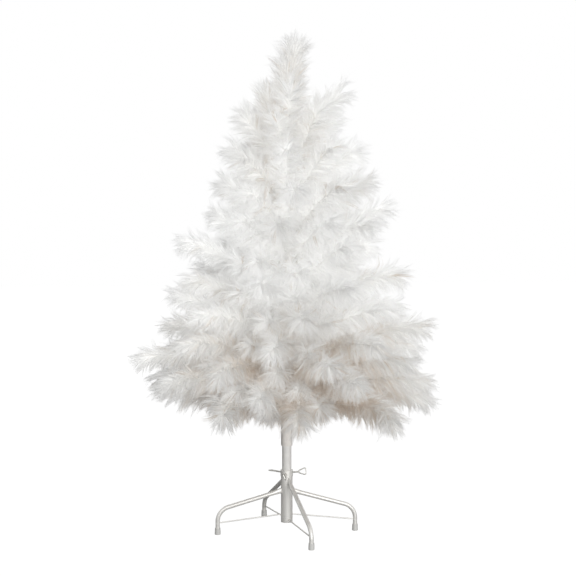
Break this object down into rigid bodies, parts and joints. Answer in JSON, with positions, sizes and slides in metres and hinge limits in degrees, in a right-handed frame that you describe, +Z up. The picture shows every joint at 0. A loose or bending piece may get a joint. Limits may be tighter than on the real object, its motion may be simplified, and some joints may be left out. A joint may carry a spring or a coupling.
{
  "type": "pampas grass christmas tree",
  "caption": "White pampas-plume Christmas tree with a two-part pole in a folding steel stand whose second pair of legs swivels.",
  "frame": {"origin": "on the floor under the middle of the pole, which is the middle of the four feet", "axes": "+Z up along the pole; +X along the fixed pair of legs, towards the right of the picture; +Y away from the viewer"},
  "size_m": [0.9266, 0.8872, 1.5006],
  "materials": {
    "stand_enamel": "satin",
    "bolt_zinc": "satin",
    "foot_plastic": "satin",
    "plug_plastic": "matte",
    "wrap_tape": "matte",
    "branch_wire": "matte",
    "plume_fibre": "matte"
  },
  "bodies": {
    "stand": {"core_tube": "stand_enamel", "base_cap": "stand_enamel", "fixed_sleeve": "stand_enamel", "bolt_collar": "stand_enamel", "leg_left": "stand_enamel", "leg_right": "stand_enamel", "brace_left": "stand_enamel", "brace_right": "stand_enamel", "foot_cap_left": "foot_plastic", "foot_cap_right": "foot_plastic"},
    "swivel_legs": {"swivel_ring_upper": "stand_enamel", "swivel_ring_lower": "stand_enamel", "leg_front": "stand_enamel", "leg_back": "stand_enamel", "brace_front": "stand_enamel", "brace_back": "stand_enamel", "foot_cap_front": "foot_plastic", "foot_cap_back": "foot_plastic"},
    "bolt_front": {"eye_bolt_front": "bolt_zinc"},
    "bolt_left": {"eye_bolt_left": "bolt_zinc"},
    "bolt_right": {"eye_bolt_right": "bolt_zinc"},
    "pole_foot": {"pole_end_plug": "plug_plastic"},
    "lower_tree": {"lower_pole": "stand_enamel", "lower_wrap": "wrap_tape", "tier_01_wires": "branch_wire", "tier_01_plumes": "plume_fibre", "tier_02_wires": "branch_wire", "tier_02_plumes": "plume_fibre", "tier_03_wires": "branch_wire", "tier_03_plumes": "plume_fibre", "tier_04_wires": "branch_wire", "tier_04_plumes": "plume_fibre", "tier_05_wires": "branch_wire", "tier_05_plumes": "plume_fibre", "tier_06_wires": "branch_wire", "tier_06_plumes": "plume_fibre", "tier_07_wires": "branch_wire", "tier_07_plumes": "plume_fibre"},
    "upper_tree": {"upper_pole": "stand_enamel", "stop_collar": "stand_enamel", "top_plug": "plug_plastic", "upper_wrap": "wrap_tape", "tier_08_wires": "branch_wire", "tier_08_plumes": "plume_fibre", "tier_09_wires": "branch_wire", "tier_09_plumes": "plume_fibre", "tier_10_wires": "branch_wire", "tier_10_plumes": "plume_fibre", "tier_11_wires": "branch_wire", "tier_11_plumes": "plume_fibre", "tier_12_wires": "branch_wire", "tier_12_plumes": "plume_fibre", "leader_wire": "branch_wire", "leader_plume": "plume_fibre"}
  },
  "joints": [
    {"name": "leg_swivel", "type": "hinge", "parent": "stand", "child": "swivel_legs", "pos_m": [0, 0, 0], "axis": [0, 0, 1], "range_deg": [-96, 69.8]},
    {"name": "front_bolt", "type": "slide", "parent": "stand", "child": "bolt_front", "axis": [-0.2402, -0.9707, 0], "range_m": [0, 0.003]},
    {"name": "right_bolt", "type": "slide", "parent": "stand", "child": "bolt_right", "axis": [0.9608, 0.2773, 0], "range_m": [0, 0.003]},
    {"name": "left_bolt", "type": "slide", "parent": "stand", "child": "bolt_left", "axis": [-0.7206, 0.6934, 0], "range_m": [0, 0.003]},
    {"name": "tree_lift", "type": "slide", "parent": "stand", "child": "pole_foot", "axis": [0, 0, 1], "range_m": [0, 0.15]},
    {"name": "tree_turn", "type": "hinge", "parent": "pole_foot", "child": "lower_tree", "pos_m": [0, 0, 0], "axis": [0, 0, 1], "continuous": true},
    {"name": "top_section_lift", "type": "slide", "parent": "lower_tree", "child": "upper_tree", "axis": [0, 0, 1], "range_m": [0, 0.08]}
  ]
}
